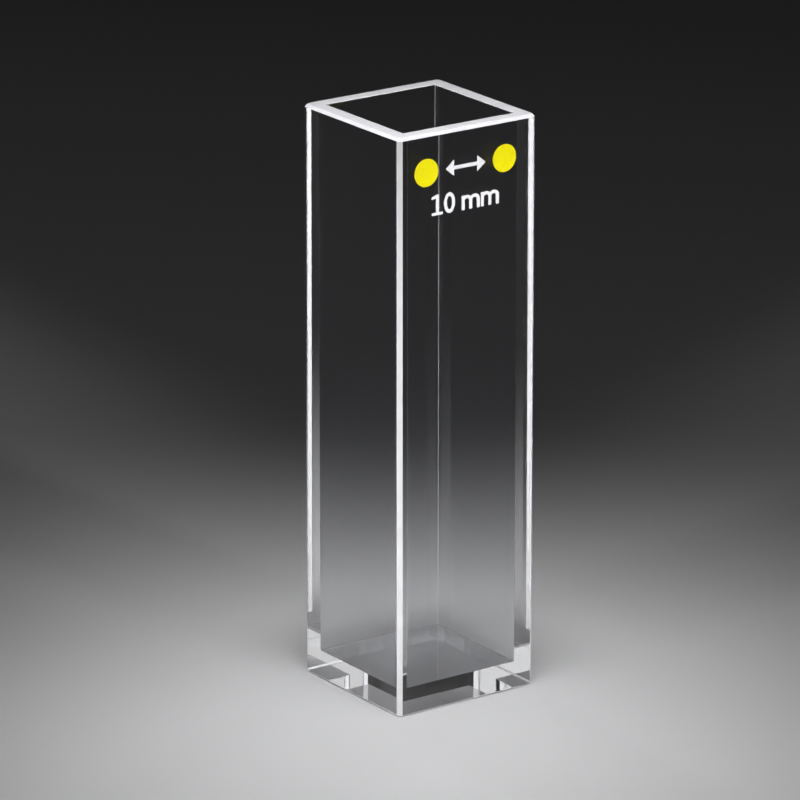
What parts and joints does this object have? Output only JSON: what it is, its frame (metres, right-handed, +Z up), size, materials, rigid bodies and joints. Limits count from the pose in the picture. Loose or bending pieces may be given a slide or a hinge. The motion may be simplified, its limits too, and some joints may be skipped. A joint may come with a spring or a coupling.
{
  "type": "cuvette",
  "caption": "Square clear fused-quartz cuvette with polished windows on every side, a solid base, an open top and ground edges, for holding a liquid sample in a beam of light.",
  "frame": {"origin": "middle of the foot, on the surface that the cuvette stands on", "axes": "+Z up along the well to the open rim, -Y out of the front window, which carries the print, +X to the right of it"},
  "size_m": [0.0126, 0.0126, 0.045],
  "materials": {
    "clear_quartz": "polished windows, ground rim and edges",
    "yellow_ink": "fired screen print",
    "white_ink": "fired screen print"
  },
  "bodies": {
    "root": {"cuvette_body": "clear_quartz"}
  },
  "joints": []
}
